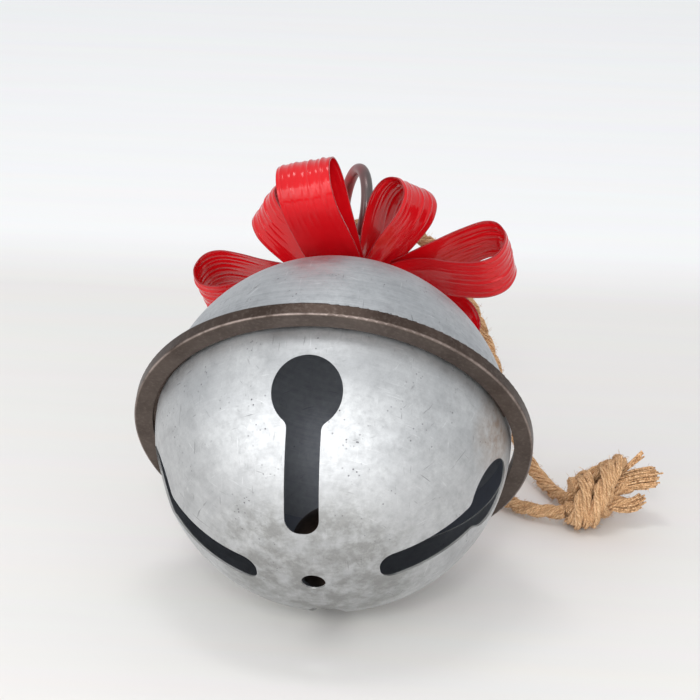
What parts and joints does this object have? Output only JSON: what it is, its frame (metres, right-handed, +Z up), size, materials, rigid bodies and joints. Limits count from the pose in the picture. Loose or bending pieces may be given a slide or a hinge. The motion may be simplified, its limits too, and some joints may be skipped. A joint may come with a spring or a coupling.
{
  "type": "jingle bell",
  "caption": "Large hollow sheet-metal jingle bell with keyhole sound slots, a rim hoop, a metal ribbon bow, a hanging eye, a loose ball and a knotted rope loop.",
  "frame": {"origin": "on the floor, straight below the common centre of the two half shells, with the bell lying on its lower shell and its hoop", "axes": "+Z up; +Y level, the way the crown and hanging eye point; +X level, to the right seen from the pole end"},
  "size_m": [0.2599, 0.2762, 0.2144],
  "materials": {
    "galvanised_upper": "satin, fine brush marks",
    "galvanised_lower": "satin, mottled",
    "bronzed_steel": "satin, worn edges",
    "weld_metal": "rough",
    "ring_steel": "dark, red overspray",
    "zinc_fastener": "satin",
    "red_enamel": "gloss",
    "ball_steel": "brown, dull",
    "jute": "twisted natural fibre"
  },
  "bodies": {
    "bell": {"upper_shell": "galvanised_upper", "lower_shell": "galvanised_lower", "rim_hoop": "bronzed_steel", "hoop_weld_1": "weld_metal", "hoop_weld_2": "weld_metal", "hoop_weld_3": "weld_metal", "hoop_weld_4": "weld_metal", "hanging_ring": "ring_steel", "eye_stud": "ring_steel", "crown_washer": "zinc_fastener", "inner_washer": "zinc_fastener", "hex_nut": "zinc_fastener", "bow_strip_low": "red_enamel", "bow_strip_middle": "red_enamel", "bow_strip_high": "red_enamel", "rope_loop": "jute", "rope_knot": "jute", "rope_end_upper": "jute", "rope_end_lower": "jute"},
    "ball": {"jingle_ball": "ball_steel"}
  },
  "joints": [
    {"name": "ball_roll", "type": "hinge", "parent": "bell", "child": "ball", "pos_m": [0, 0, 0.089], "axis": [1, 0, 0], "range_deg": [-110, 80]}
  ]
}
